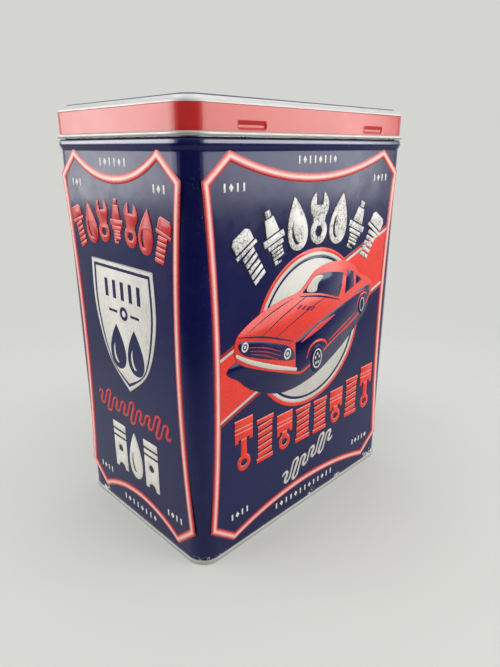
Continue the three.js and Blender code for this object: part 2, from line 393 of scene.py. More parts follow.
def build_body():
    """The body's wall with its hooked foot, its bead and its neck, the lock seam and the hinge straps."""
    hook_foot = PLATE / 2 + LAYER_PITCH
    hook_offset = WALL + 2 * LAYER_PITCH
    hooks = [(hook_offset, BODY_HOOK_TOP), (hook_offset, hook_foot), (WALL, hook_foot)]
    printed = [(WALL, 3.0), (WALL, 4.0), (WALL, BEAD_FOOT - 1.0)]
    printed += flare((WALL, BEAD_FOOT), (BEAD_REACH, SHELF - BEAD_RADIUS - BEAD_BAND), 14)
    bead = arc(BEAD_REACH - BEAD_RADIUS, SHELF - BEAD_RADIUS, BEAD_RADIUS, 0, 90, 14)
    bare = arc(NECK_BEND - NECK_INSET, SHELF + NECK_BEND, NECK_BEND, 270, 180, 6)
    bare += arc(NECK_CURL_RADIUS - NECK_INSET, NECK_CURL_Z, NECK_CURL_RADIUS, 180, -120, 24)
    # The bead's rounded top gets the lighter navy, a painted highlight.
    zones = [(NAVY, hooks + printed), (BEAD_HIGHLIGHT_NAVY, bead), (TIN, bare)]
    shell = pressing("body_pressing", zones, INNER_TIN, False)
    straps = [hinge_strap(side * HINGE_SPACING / 2) for side in (-1, 1)]
    return joined("body", [shell, lock_seam(), *straps])


def lock_seam():
    """The two edges of the body's sheet, folded together inside the back wall."""
    chamfer = 0.5
    outer = DEPTH / 2 - PLATE + 0.02
    inner = outer - LOCK_SEAM_THICKNESS
    section = [(inner, LOCK_SEAM_FOOT + chamfer), (outer, LOCK_SEAM_FOOT)]
    section += [(outer, LOCK_SEAM_TOP), (inner, LOCK_SEAM_TOP - chamfer)]
    return bar_along_x("lock_seam", section, LOCK_SEAM_X, LOCK_SEAM_WIDTH, INNER_TIN)


def hinge_strap(x):
    """A tongue of the bead's shelf, rolled over the hinge wire from the inside."""
    axis = SKIRT + LID_CURL_RADIUS
    points = [(axis - LID_CURL_RADIUS, STRAP_FOOT)] + arc(axis, LID_CURL_Z, LID_CURL_RADIUS, 180, -110, 30)
    left, right = plate_faces(points, False)
    section = [(DEPTH / 2 + offset, z) for offset, z in left + right[::-1]]
    return bar_along_x("hinge_strap", section, x, STRAP_LENGTH, TIN)


def build_bottom():
    """The countersunk bottom. Its rim folds round the body's hook and down again behind it."""
    inner, outer = WALL - LAYER_PITCH, WALL + 3 * LAYER_PITCH
    foot, top = PLATE / 2, SEAM_HEIGHT - PLATE / 2
    panel_bend, chuck_bend, rim_bend = 0.7, 0.2, 0.3
    step = [(-1.2, STEP_RISE), (-0.9, STEP_RISE - 0.1), (-0.3, 0.2), (0.0, 0.02), (1.0, 0.0)]
    panel = [(offset - STEP_INSET, COUNTERSINK + rise) for offset, rise in step]
    panel.append((inner - panel_bend - 0.2, COUNTERSINK))
    panel += arc(inner - panel_bend, COUNTERSINK - panel_bend, panel_bend, 90, 0, 5)
    chuck = arc(inner + chuck_bend, foot + chuck_bend, chuck_bend, 180, 270, 3)
    rim = arc(outer - rim_bend, foot + rim_bend, rim_bend, -90, 0, 5)
    rim += arc(outer - rim_bend, top - rim_bend, rim_bend, 0, 90, 5)
    hook = [(WALL + LAYER_PITCH, top), (WALL + LAYER_PITCH, END_HOOK_FOOT)]
    return pressing("bottom", [(TIN, panel + chuck + rim + hook)], INNER_TIN, True)


def dimple(x, z):
    """How far the front skirt is pressed in at a point: a dent with a narrow flat between two slopes."""
    end_slope, upper_slope, lower_slope = 1.0, 1.9, 1.3
    reach = min(abs(x - side * CATCH_SPACING / 2) for side in (-1, 1))
    ends = min(max((CATCH_LENGTH / 2 - reach) / end_slope, 0.0), 1.0)
    above, below = CATCH_Z + CATCH_HEIGHT / 2 - z, z - (CATCH_Z - CATCH_HEIGHT / 2)
    slopes = min(max(min(above / upper_slope, below / lower_slope), 0.0), 1.0)
    return CATCH_DEPTH * ends * slopes


def dimple_columns():
    """Where the front skirt has columns, close enough together to shape its two dimples."""
    reach, pitch = 17, 0.7
    return [side * CATCH_SPACING / 2 + pitch * i for side in (-1, 1) for i in range(-reach, reach + 1)]


def build_lid():
    """The lid: a navy panel, a bare shoulder, a red skirt, and a bare curl notched at the hinge straps. The
    red is darkened as painted shade along its top edge and where it turns into the curl.
    """
    shoulder = HEIGHT - PLATE / 2 - PANEL_RISE
    panel_z = shoulder + PANEL_RISE
    top = [(-9.0, panel_z), (-PANEL_INSET - 1.0, panel_z)]
    top += [(-PANEL_INSET - 0.8, panel_z - 0.05), (-PANEL_INSET - 0.15, shoulder + 0.1)]
    bend = arc(SKIRT - SHOULDER_RADIUS, shoulder - SHOULDER_RADIUS, SHOULDER_RADIUS, 90, 0, 18)
    rounded = [(-PANEL_INSET + 0.05, shoulder)] + [p for p in bend if p[1] >= BARE_EDGE]
    shade_line = [p for p in bend if BARE_EDGE > p[1] >= BARE_EDGE - SHADE_LINE]
    skirt = [p for p in bend if p[1] < BARE_EDGE - SHADE_LINE] + [(SKIRT, 254.0)]
    high, low, rows = 250.0, LID_CURL_Z + 1.2, 30
    skirt += [(SKIRT, high - (high - low) * i / rows) for i in range(rows + 1)]
    curl = arc(SKIRT + LID_CURL_RADIUS, LID_CURL_Z, LID_CURL_RADIUS, 180, 485, 40)
    lacquered = 6  # the skirt's lacquer ends this many points round the curl; these points are a darker red, painted shade of the crease
    zones = [
        (NAVY, top),
        (SATIN_TIN, rounded),
        (LID_SHADE_RED, shade_line),
        (LID_RED, skirt),
        (LID_SHADE_RED, curl[:lacquered]),
        (SATIN_TIN, curl[lacquered:]),
    ]
    lid = pressing("lid", zones, INNER_TIN, True, dimple_columns(), dimple)
    cut(lid, [notch_cutter(side * HINGE_SPACING / 2) for side in (-1, 1)])
    return lid


def notch_cutter(x):
    """The box that clears the lid's curl away from a hinge strap."""
    near, far = DEPTH / 2 - 0.6, DEPTH / 2 + 3.4
    foot = LID_CURL_Z - 3.0
    section = [(near, foot), (far, foot), (far, NOTCH_TOP), (near, NOTCH_TOP)]
    return bar_along_x("cutter", section, x, NOTCH_LENGTH, TIN)


# Outlines in the plane of a face


def polar(radius, degrees):
    """The point at a distance from the origin, at an angle from the first axis."""
    return radius * math.cos(math.radians(degrees)), radius * math.sin(math.radians(degrees))


def ellipse(u, v, half_width, half_height, steps=64):
    angles = [2 * math.pi * i / steps for i in range(steps)]
    return [(u + half_width * math.cos(a), v + half_height * math.sin(a)) for a in angles]


def ring(u, v, radius, steps=96):
    return ellipse(u, v, radius, radius, steps)


def arc_through(start, middle, end, steps):
    """Points of the arc through three points, without its end point."""
    (ax, ay), (bx, by), (cx, cy) = start, middle, end
    d = 2 * (ax * (by - cy) + bx * (cy - ay) + cx * (ay - by))
    sa, sb, sc = ax * ax + ay * ay, bx * bx + by * by, cx * cx + cy * cy
    ox = (sa * (by - cy) + sb * (cy - ay) + sc * (ay - by)) / d
    oy = (sa * (cx - bx) + sb * (ax - cx) + sc * (bx - ax)) / d
    radius = math.hypot(ax - ox, ay - oy)
    first, mid, last = (math.atan2(y - oy, x - ox) for x, y in (start, middle, end))
    sweep = math.remainder(last - first, 2 * math.pi)
    if abs(math.remainder(mid - first - sweep / 2, 2 * math.pi)) > math.pi / 2:
        sweep -= math.copysign(2 * math.pi, sweep)
    angles = [first + sweep * i / steps for i in range(steps)]
    return [(ox + radius * math.cos(a), oy + radius * math.sin(a)) for a in angles]


def smooth(points, steps=6, closed=True):
    """A Catmull-Rom curve through the points."""
    n = len(points)
    spans = range(n) if closed else range(n - 1)
    curve = []
    for i in spans:
        index = [i - 1, i, i + 1, i + 2]
        index = [j % n for j in index] if closed else [min(max(j, 0), n - 1) for j in index]
        p0, p1, p2, p3 = (Vector(points[j]) for j in index)
        for step in range(steps):
            t = step / steps
            point = 0.5 * (2 * p1 + (p2 - p0) * t + (2 * p0 - 5 * p1 + 4 * p2 - p3) * t * t)
            curve.append(tuple(point + 0.5 * (3 * p1 - 3 * p2 + p3 - p0) * t * t * t))
    return curve if closed else curve + [tuple(points[-1])]


def rectangle(left, bottom, right, top):
    return [(left, bottom), (right, bottom), (right, top), (left, top)]


def oil_drop(width, tall):
    """A drop with its point up, its foot at v = 0 and its middle at u = 0."""
    steps = 40
    points = []
    for i in range(steps):
        t = 2 * math.pi * i / steps
        points.append((width * 0.66 * math.sin(t) * math.sin(t / 2), tall * (1 + math.cos(t)) / 2))
    return points


def turned(points, degrees):
    """Points turned anticlockwise about the origin."""
    cos, sin = polar(1.0, degrees)
    return [(u * cos - v * sin, u * sin + v * cos) for u, v in points]


def shifted(shapes, du, dv):
    return [[[(u + du, v + dv) for u, v in loop] for loop in shape] for shape in shapes]


def arch(emblems, width, tall, centre, radius, first, step):
    """Emblems stood on an arc, from an angle above the horizontal and then a step lower each time."""
    shapes = []
    for i, emblem in enumerate(emblems):
        degrees = first - step * i
        du, dv = polar(radius, degrees)
        stood = [[turned(loop, degrees - 90.0) for loop in shape] for shape in emblem(width, tall)]
        shapes += shifted(stood, centre[0] + du, centre[1] + dv)
    return shapes


# Print on a face


# How far each face is turned from the front, and its distance from the can's middle.
FACES = {
    "front": (0, DEPTH / 2),
    "right": (90, WIDTH / 2),
    "back": (180, DEPTH / 2),
    "left": (-90, WIDTH / 2),
}
SUNK = 0.12  # how far a print's solid reaches into the wall


def to_face(face, points):
    """Points (u, v, height off the wall) on a face, in the row's frame, all in millimetres."""
    degrees, reach = FACES[face]
    turn = Matrix.Rotation(math.radians(degrees), 3, "Z")
    return [turn @ Vector((u, -reach - lift, v)) for u, v, lift in points]


def area(loop):
    """The area inside a loop, below zero when it runs clockwise."""
    return sum(a[0] * b[1] - b[0] * a[1] for a, b in zip(loop, loop[1:] + loop[:1])) / 2


def inset(loop, distance):
    """The loop moved to its left by distance, with mitred corners."""
    moved = []
    for before, point, after in zip(loop[-1:] + loop[:-1], loop, loop[1:] + loop[:1]):
        a = (Vector(point) - Vector(before)).normalized()
        b = (Vector(after) - Vector(point)).normalized()
        normal_a, normal_b = Vector((-a.y, a.x)), Vector((-b.y, b.x))
        spread = max(1 + normal_a.dot(normal_b), 0.4)
        moved.append(tuple(Vector(point) + (normal_a + normal_b) * distance / spread))
    return moved


def relief(face, part, shapes, top, bevel, material):
    """Shapes that stand off the wall by top, with bevelled edges. A shape is an outline and its holes."""
    vertices, faces = [], []
    for shape in shapes:
        loops = []
        for i, loop in enumerate(shape):
            outward = area(loop) > 0
            loops.append(loop if outward == (i == 0) else loop[::-1])
        levels = [(0.0, -SUNK), (0.0, top - bevel * 0.7), (bevel, top)]
        start = len(vertices)
        size = sum(len(loop) for loop in loops)
        for distance, lift in levels:
            for loop in loops:
                moved = inset(loop, distance) if distance else loop
                vertices += to_face(face, [(u, v, lift) for u, v in moved])
        first = start
        for loop in loops:
            for i in range(len(loop)):
                j = (i + 1) % len(loop)
                for level in range(2):
                    base = first + level * size
                    faces.append((base + i, base + j, base + size + j, base + size + i))
            first += len(loop)
        flat = tessellate_polygon([[Vector((u, v, 0)) for u, v in loop] for loop in loops])
        faces += [tuple(start + i for i in triangle) for triangle in flat]
        faces += [tuple(start + 2 * size + i for i in triangle) for triangle in flat]
    return finish_mesh(f"{face}_{part}", vertices, faces, [material], [0] * len(faces), 40.0)


def drop_shadow(face, part, shapes, aside):
    """A dark print of the shapes, moved down and a little aside."""
    return relief(face, part, shifted(shapes, aside, -1.0), 0.03, 0.0, DARK_NAVY)


def raised_line(name, face, path, profile, materials):
    """A bead that follows a closed path. profile is a list of (distance to the left, height off the wall,
    index of the material up to the next point)."""
    steps = [(offset, lift) for offset, lift, _ in profile]
    steps = [(steps[0][0], -SUNK), *steps, (steps[-1][0], -SUNK)]
    index = [profile[0][2]] + [m for _, _, m in profile] + [profile[-1][2]]
    rows = [inset(path, offset) for offset, _ in steps]
    vertices, faces, face_materials = [], [], []
    for row, (_, lift) in zip(rows, steps):
        vertices += to_face(face, [(u, v, lift) for u, v in row])
    n, count = len(path), len(steps)
    for level in range(count):
        for i in range(n):
            j = (i + 1) % n
            a, b = level * n, (level + 1) % count * n
            faces.append((a + i, a + j, b + j, b + i))
            face_materials.append(index[level])
    return finish_mesh(name, vertices, faces, materials, face_materials, 50.0)


# The border's section: distance from its middle, height off the wall, and colour up to the next point. The
# border is a printed red line with a light core; the deep red along its low edges is painted shade.
BORDER_INKS_AND_SHADE = [DEEP_RED, ROSE, PINK, PALE_PINK]
BORDER_PROFILE = [
    (-2.5, 0.02, 0),
    (-1.75, 0.24, 1),
    (-1.2, 0.40, 2),
    (-0.55, 0.50, 3),
    (0.55, 0.50, 2),
    (1.2, 0.40, 1),
    (1.75, 0.24, 0),
    (2.5, 0.02, 0),
]


def border(face, peak, dip, shoulder, waist, low_corner, foot, rise):
    """The embossed border of a face, the same on its left and right. Its corners are points (u, v). In the
    middle of the face its top dips to the height dip, and its bottom rises to the height rise."""

    def flip(point):
        return (-point[0], point[1])

    path = arc_through(flip(foot), (0, rise), foot, 40) + [foot]
    path += arc_through(low_corner, waist, shoulder, 40) + [shoulder]
    path += arc_through(peak, (0, dip), flip(peak), 40) + [flip(peak)]
    path += arc_through(flip(shoulder), flip(waist), flip(low_corner), 40) + [flip(low_corner)]
    # The colours step from a pale pink crest to deep red at the foot: print, with painted shade on the low
    # edges.
    return raised_line(face + "_border", face, path, BORDER_PROFILE, BORDER_INKS_AND_SHADE)


# Emblems. Each is drawn upright about u = 0 with its foot at v = 0, and returns a list of shapes.


def bar(half, foot, top):
    """A level bar, twice half wide."""
    return [rectangle(-half, foot, half, top)]


def slanting_bar(half, foot, rise, thick):
    """A bar that rises to the right."""
    return [[(-half, foot), (half, foot + rise), (half, foot + rise + thick), (-half, foot + thick)]]


def piston(width, tall):
    """A piston with its crown up, a ring land, and a pin hole in its skirt."""
    half = width / 2
    skirt = [(-half, 0), (-half * 0.55, 0), *arc(0, 0, half * 0.55, 180, 0, 12)[1:-1], (half * 0.55, 0)]
    skirt += [(half, 0), (half, tall * 0.67), (-half, tall * 0.67)]
    pin_hole = ring(0, tall * 0.45, half * 0.36, 28)
    return [bar(half, tall * 0.86, tall), bar(half, tall * 0.72, tall * 0.81), [skirt, pin_hole]]


def spark_plug(width, tall):
    """A spark plug with its terminal up: insulator, hexagon, washer, thread and earth hook."""
    half = width / 2
    insulator = [(-half * 0.62, tall * 0.56), (half * 0.62, tall * 0.56), (half * 0.40, tall * 0.86)]
    shapes = [bar(half * 0.24, tall * 0.885, tall), [insulator + [(-half * 0.40, tall * 0.86)]]]
    shapes += [bar(half, tall * 0.41, tall * 0.53), bar(half * 0.74, tall * 0.31, tall * 0.385)]
    for i in range(3):
        foot = tall * (0.235 - 0.07 * i)
        shapes.append(bar(half * 0.52, foot, foot + tall * 0.048))
    hook = [(-half * 0.5, 0), (half * 0.16, 0), (half * 0.16, tall * 0.03), (-half * 0.22, tall * 0.03)]
    return shapes + [[hook + [(-half * 0.22, tall * 0.075), (-half * 0.5, tall * 0.075)]]]


def shining_drop(width, tall):
    """A drop with a crescent cut out of its lower left."""
    low, middle, high = (0.02, 0.14), (-0.30, 0.33), (-0.17, 0.56)
    crescent = arc_through(low, middle, high, 12) + arc_through(high, (-0.19, 0.33), low, 12)
    return [[oil_drop(width, tall), [(u * width, v * tall) for u, v in crescent]]]


def spanner(width, tall):
    """An open jaw on a shaft that ends in a ring."""
    half = width / 2
    jaw = arc(0, tall - half, half, -46, 64, 12)
    jaw += [(half * 0.36, tall * 0.74), (-half * 0.36, tall * 0.74)]
    jaw += arc(0, tall - half, half, 116, 226, 12)
    end = arc(0, half * 0.9, half * 0.9, 132, 408, 26)
    return [[jaw + end, ring(0, half * 0.9, half * 0.42, 6)]]


def bolt(width, tall):
    """A bolt with its head up: a crowned head, a washer, and a shank with slanting threads."""
    half = width / 2
    head = [(-half * 0.86, tall * 0.74), (half * 0.86, tall * 0.74), (half * 0.86, tall * 0.93)]
    head += [(half * 0.6, tall), (-half * 0.6, tall), (-half * 0.86, tall * 0.93)]
    pitch = tall * 0.125
    feet = [tall * 0.005 + pitch * i for i in range(5)]
    threads = [slanting_bar(half * 0.58, foot, pitch * 0.3, pitch * 0.65) for foot in feet]
    return [[head], bar(half, tall * 0.64, tall * 0.705), *threads]


def rod_and_piston(width, tall):
    """A piston on its connecting rod."""
    half = width / 2
    skirt = [(-half, tall - 8.1), (-half, tall - 14.5), (-half * 0.62, tall - 14.5)]
    skirt += [(-half * 0.62, tall - 12.4), (half * 0.62, tall - 12.4), (half * 0.62, tall - 14.5)]
    skirt += [(half, tall - 14.5), (half, tall - 8.1)]
    end = half * 0.72
    rod = arc(0, end, end, 118, 422, 26) + [(half * 0.30, tall - 13.3), (-half * 0.30, tall - 13.3)]
    crown, land = bar(half, tall - 4.4, tall), bar(half, tall - 7.2, tall - 5.3)
    return [crown, land, [skirt], [rod, ring(0, end, end * 0.5, 24)]]


def valve_spring(width, tall):
    """A coil spring between two plates."""
    half, plate, margin = width / 2, 2.4, 6.2
    coils = round((tall - margin) / 4.6)
    pitch = (tall - margin) / coils
    feet = [3.3 + pitch * i for i in range(coils)]
    wire = [slanting_bar(half * 0.86, foot, pitch * 0.26, pitch * 0.60) for foot in feet]
    return [bar(half, tall - plate, tall), bar(half, 0, plate), *wire]


def small_marks(count, pitch, size):
    """A row of small bars and lozenges, centred on u = 0."""
    marks = []
    for i in range(count):
        u = (i - (count - 1) / 2) * pitch
        if i % 3 == 1:
            marks.append([[(u - 0.38 * size, 0), (u, -size / 2), (u + 0.38 * size, 0), (u, size / 2)]])
        else:
            marks.append([rectangle(u - 0.15 * size, -size / 2, u + 0.15 * size, size / 2)])
    return marks


def rows_of_marks(face, rows):
    """The small print of a face, as rows of marks. A row is (count, pitch, u, v)."""
    size = 4.2
    shapes = [shape for n, pitch, u, v in rows for shape in shifted(small_marks(n, pitch, size), u, v)]
    return relief(face, "small_marks", shapes, 0.06, 0.02, BRIGHT_CREAM)


def ribbon(points, widths, steps=8):
    """A stroke along a smooth line, with a width at each of its points."""
    line = smooth([(*p, w) for p, w in zip(points, widths)], steps, closed=False)
    left, right = [], []
    for i, (u, v, wide) in enumerate(line):
        before, after = line[max(i - 1, 0)], line[min(i + 1, len(line) - 1)]
        along = Vector((after[0] - before[0], after[1] - before[1])).normalized()
        left.append((u - along.y * wide / 2, v + along.x * wide / 2))
        right.append((u + along.y * wide / 2, v - along.x * wide / 2))
    return [[right + left[::-1]]]


def flourish(start, end, waves, swing, width):
    """A slanting pen stroke that waves from start to end with round turns, and is thin on its way up.
    Every third wave is a tall one."""
    slant, turn_steps, low_swing, thin = 0.4, 6, 0.58, 0.7
    turn = (end[0] - start[0]) / waves / 4
    points, widths = [], []
    for i in range(2 * waves):
        way = 1 if i % 2 == 0 else -1
        tall = swing * (1.0 if i % 6 in (2, 3) else low_swing)
        t = (i + 0.5) / (2 * waves)
        middle = (start[0] + (end[0] - start[0]) * t, start[1] + (end[1] - start[1]) * t)
        for k in range(turn_steps + 1):
            angle = math.pi * (1 - k / turn_steps)
            v = way * (tall - turn + turn * math.sin(angle))
            points.append((middle[0] + turn * math.cos(angle) + slant * v, middle[1] + v))
            downwards = (way > 0) == (k > turn_steps / 2)
            widths.append(width if downwards else width * thin)
    widths[0] = widths[-1] = width * 0.3
    return ribbon(points, widths, 2)


# The wide faces

DISC_CENTRE = (0.0, 129.0)
DISC_RADIUS = 51.0
WHEELS = {"front": (7, 107), "rear": (54.5, 134)}  # their centres


def wide_print(face):
    """The print of a wide face: a car on a disc and a slanting band, under an arch of engine emblems."""
    pieces = [
        border(face, (68, 233), 220.5, (83.5, 220.5), (78.9, 122), (84, 22.5), (68, 9.5), 20),
        *slanting_band(face),
        *disc(face),
        *car(face),
        *arched_title(face),
        *lower_title(face),
    ]
    rows = [(8, 4.6, 0, 230.3), (4, 4.4, -65, 218), (4, 4.4, 66, 218)]
    rows += [(4, 4.2, -63, 24), (5, 4.2, 64, 24), (13, 4.9, 0, 11)]
    pieces.append(rows_of_marks(face, rows))
    stroke = flourish((-25, 28), (30, 44), 6, 8.0, 2.3)
    pieces.append(relief(face, "flourish", stroke, 0.10, 0.04, CREAM))
    return pieces


def slanting_band(face):
    """A band that rises to the right from border to border."""
    left, right = (-79.0, 109.5), (79.6, 165.2)
    slope = (right[1] - left[1]) / (right[0] - left[0])

    def stripe(low, high):
        ends = (left[0], right[0])
        foot = [(u, left[1] + (u - left[0]) * slope + low) for u in ends]
        return foot + [(u, left[1] + (u - left[0]) * slope + high) for u in reversed(ends)]

    half = 18.8
    edge = [[stripe(half + 0.6, half + 2.8)], [stripe(-half - 2.8, -half - 0.6)]]
    line = [[stripe(half - 1.2, half + 0.6)], [stripe(-half - 0.6, -half + 1.2)]]
    return [
        relief(face, "band", [[stripe(-half + 1.2, half - 1.2)]], 0.05, 0.0, RED),
        relief(face, "band_edges", edge, 0.10, 0.05, DEEP_RED),
        relief(face, "band_lines", line, 0.16, 0.08, CREAM),
    ]


def disc(face):
    """The ringed disc behind the car."""
    rings = [("red_ring", 2.4, 0.30, RED), ("cream_ring", 2.2, 0.34, CREAM), ("navy_ring", 1.8, 0.20, NAVY)]
    made = []
    outer = DISC_RADIUS
    for part, wide, top, ink in rings:
        shape = [ring(*DISC_CENTRE, outer), ring(*DISC_CENTRE, outer - wide)]
        made.append(relief(face, part, [shape], top, 0.12, ink))
        outer -= wide
    made.append(relief(face, "disc", [[ring(*DISC_CENTRE, outer)]], 0.22, 0.05, CREAM))
    return made


def car(face):
    """A coupe of no make that drives towards the lower left, seen over its front corner."""
    shadow = [(-65, 125), (-62, 112), (-47, 101), (-25, 93.5), (0, 95), (22, 103), (44, 116)]
    shadow += [(62, 133), (40, 140)]
    glint = [(-6.5, 155), (1.5, 162.2), (9.5, 161.6), (4.5, 157.5), (2.5, 152.8)]
    grille = [(-62, 136), (-40, 130.5), (-20, 122), (-17, 113), (-38, 119), (-60, 128)]
    tyres = [[ellipse(*WHEELS["front"], 7.2, 9.6)], [ellipse(*WHEELS["rear"], 4.2, 7.4)]]
    layers = [
        ("car_shadow", [[smooth(shadow)]], 0.36, NAVY),
        ("car_body", [[car_outline()]], 0.44, RED),
        ("car_side", [[car_side()]], 0.46, NAVY),
        ("car_streaks", car_streaks(), 0.48, RED),
        ("car_glass", car_glass(), 0.46, NAVY),
        ("car_glint", [[smooth(glint, 5)]], 0.48, CREAM),
        ("car_lines", car_lines(), 0.46, NAVY),
        ("car_grille", [[smooth(grille, 5)]], 0.46, NAVY),
        ("car_grille_bars", car_grille_bars(), 0.48, DEEP_RED),
        ("car_tyres", tyres, 0.49, NAVY),
        ("car_bright_parts", car_bright_parts(), 0.51, CREAM),
    ]
    return [relief(face, part, shapes, top, 0.02, ink) for part, shapes, top, ink in layers]


def car_outline():
    """The outline of the whole car, clockwise from its lower front corner."""
    points = [(-65.5, 127), (-66.5, 134.5), (-62, 141.5), (-45, 149.5), (-28, 153.5), (-14, 155.5)]
    points += [(-7, 160), (2, 166.5), (16, 169), (31, 168), (42, 163.5), (49, 157), (58, 153)]
    points += [(65, 147.5), (64, 140)]
    points += [(57, 131), (42, 122.5), (22, 114.5), (6, 106), (-8, 101.5), (-16, 103), (-33, 109.5)]
    points += [(-50, 116.5), (-61, 122)]
    return smooth(points)


def car_side():
    """The dark side of the car, from its shoulder down to its sill."""
    top = [(-15.5, 123.5), (-4, 128.5), (14, 134.5), (36, 141.5), (54, 146.5), (63, 146.5)]
    low = [(62.5, 140), (55, 131.5), (40, 123.5), (20, 115), (5, 107.5), (-8, 103), (-14.5, 104.5)]
    return smooth(top, 5, closed=False) + smooth(low, 5, closed=False)


def car_glass():
    """The windscreen, the side window and the small window behind it."""
    windscreen = [(-10.5, 154.2), (8, 150.6), (27, 144.6), (29.6, 151), (30.6, 160.4), (16, 163.2)]
    windscreen += [(3.4, 163.4)]
    window = [(33.4, 145.6), (43.5, 149), (42.4, 158.8), (34.6, 162)]
    return [[windscreen], [window], [[(45.6, 149.8), (52.5, 152), (45, 157)]]]


def car_lines():
    """The creases of the bonnet, its louvres, and the dark edge of its lip."""
    lines = ribbon([(-63.5, 139), (-42, 134), (-17, 125)], [0.5, 1.3, 0.5])
    lines += ribbon([(-44, 135.5), (-26, 144), (-6, 151.5)], [0.4, 0.9, 0.5])
    lines += ribbon([(-33, 131.5), (-10, 140.5), (12, 147)], [0.4, 0.9, 0.5])
    lines += ribbon([(-55, 140.5), (-36, 148), (-18, 152.6)], [0.3, 0.8, 0.3])
    lines += ribbon([(-12.5, 152.5), (8, 148.7), (28.5, 142.4)], [0.5, 1.4, 0.5])
    for i in range(4):
        u, v = -15 + 4.2 * i, 145.2 - 1.25 * i
        lines += [[[(u, v), (u + 1.5, v - 0.45), (u + 5.4, v + 1.4), (u + 3.9, v + 1.85)]]]
    return lines


def car_streaks():
    """Light along the dark side of the car: under its shoulder, over its wheels and along its sill."""
    streaks = ribbon([(-10, 122.5), (8, 128.8), (24, 133.4)], [0.6, 3.4, 0.5])
    streaks += ribbon([(20, 136), (42, 142), (58, 144.2)], [0.3, 1.6, 0.4])
    front_arch = [(-4, 110), (-1, 116.4), (6, 119.4), (14, 117.5), (17, 112.6)]
    streaks += ribbon(front_arch, [0.6, 1.5, 1.7, 1.5, 0.5])
    streaks += ribbon([(48.5, 133), (51.5, 140.5), (57.5, 142), (60.5, 139)], [0.4, 1.1, 1.1, 0.4])
    return streaks + ribbon([(18, 116.6), (34, 123.4), (47, 129.6)], [0.4, 1.2, 0.4])


def car_grille_bars():
    """Three bars across the grille, each shorter than the one above it."""
    bars = []
    for drop, tuck in ((2.4, 0.0), (4.8, 0.8), (7.2, 2.2)):
        ends = (-55.5 + tuck, 133.6 - drop), (-28.0 - tuck, 123.6 - drop)
        middle = (-41.0, 129.4 - drop)
        bars += ribbon([ends[0], middle, ends[1]], [0.4, 0.8, 0.4])
    return bars


def car_bright_parts():
    """The bumper, the lamps and the wheels' rims."""
    parts = ribbon([(-65.5, 129), (-55, 122.5), (-36, 113.8), (-13.5, 105.4)], [1.6, 2.6, 2.9, 2.0])
    for u, v, radius in ((-58.6, 132.2, 2.7), (-22.6, 118.4, 3.3)):
        rim = ellipse(u, v, radius, radius * 1.1, 32)
        parts.append([rim, ellipse(u, v, radius * 0.62, radius * 0.7, 32)])
        parts.append([ellipse(u, v, radius * 0.34, radius * 0.4, 20)])
    front, rear = WHEELS["front"], WHEELS["rear"]
    parts.append([ellipse(*front, 4.7, 6.8, 40), ellipse(*front, 3.8, 5.8, 40)])
    parts.append([ellipse(*rear, 2.6, 5.0, 32), ellipse(*rear, 2.0, 4.2, 32)])
    spokes = 5
    for i in range(spokes):
        angle = 2 * math.pi * (i + 0.25) / spokes
        u, v = front[0] + 2.1 * math.cos(angle), front[1] + 3.3 * math.sin(angle)
        parts.append([ellipse(u, v, 0.8, 1.2, 12)])
    return parts


def arched_title(face):
    """Seven engine emblems in an arch, with a drop shadow to the left."""
    emblems = [bolt, spark_plug, shining_drop, spanner, shining_drop, spark_plug, bolt]
    shapes = arch(emblems, 17.0, 31.0, centre=(2.0, 91.0), radius=91.0, first=121.8, step=10.8)
    return [
        drop_shadow(face, "title_shadow", shapes, -1.3),
        relief(face, "title", shapes, 0.62, 0.34, WORN_CREAM),
    ]


def lower_title(face):
    """A row of pistons and springs under the disc, with their tops along its curve, a pink painted
    highlight along their tops, and a drop shadow.
    """
    shapes = []
    first, pitch, count = -59.5, 18.1, 8
    for i in range(count):
        u = first + pitch * i
        tall = 24.0 + 12.0 * min(abs(u - 4) / 68.0, 1.0) ** 2
        emblem = valve_spring if i in (1, 3, 4, 6) else rod_and_piston
        shapes += shifted(emblem(14.6, tall), u, 51.5 - 0.03 * u)
    return [
        drop_shadow(face, "row_shadow", shapes, 1.2),
        # A pink copy set a little higher peeks out along the tops: a painted highlight.
        relief(face, "row_painted_highlight", shifted(shapes, 0.0, 0.55), 0.24, 0.1, PINK),
        relief(face, "row", shapes, 0.45, 0.25, RED),
    ]


# The narrow faces


def narrow_print(face):
    """The print of a narrow face: a badge under an arch of red emblems, over a flourish and a cream row."""
    pieces = [
        border(face, (41, 233.5), 220.5, (56, 221), (50, 112), (56, 22.5), (41.5, 9), 21),
        *arched_row(face),
        *badge(face),
        *foot_emblems(face),
    ]
    rows = [(6, 4.8, 0, 229.3), (3, 4.2, -41, 217.5), (3, 4.2, 41, 217.5)]
    rows += [(4, 4.2, -39, 24), (4, 4.2, 39, 24), (8, 4.9, 0, 10.5)]
    pieces.append(rows_of_marks(face, rows))
    stroke = flourish((-41, 79.5), (41, 81), 9, 7.5, 2.2)
    pieces.append(relief(face, "flourish", stroke, 0.10, 0.04, CRIMSON))
    return pieces


def arched_row(face):
    """Seven red emblems that stand in an arch, with a pink painted highlight along their upper left edges
    and a drop shadow.
    """
    emblems = [bolt, shining_drop, spanner, spark_plug, spanner, shining_drop, bolt]
    shapes = arch(emblems, 12.6, 24.0, centre=(0.0, 60.0), radius=126.0, first=107.7, step=5.9)
    return [
        drop_shadow(face, "arch_shadow", shapes, -1.2),
        # A pink copy set up and to the left peeks out along the upper left edges: a painted highlight.
        relief(face, "arch_painted_highlight", shifted(shapes, -0.3, 0.5), 0.24, 0.1, PINK),
        relief(face, "arch", shapes, 0.5, 0.3, CRIMSON),
    ]


def badge_outline(grow):
    """A shield with a flat top and curved sides that meet in a point, grown outward by grow."""
    half, low, waist, high = 31.5 + grow, 95.0 - grow * 1.3, 143.0, 174.5 + grow
    side = [(half, high - 0.1), (half, waist), (half * 0.66, 113.0), (0, low)]
    right = [(half, high)] + smooth(side, 10, closed=False)
    return right[::-1] + [(-u, v) for u, v in right][:-1]


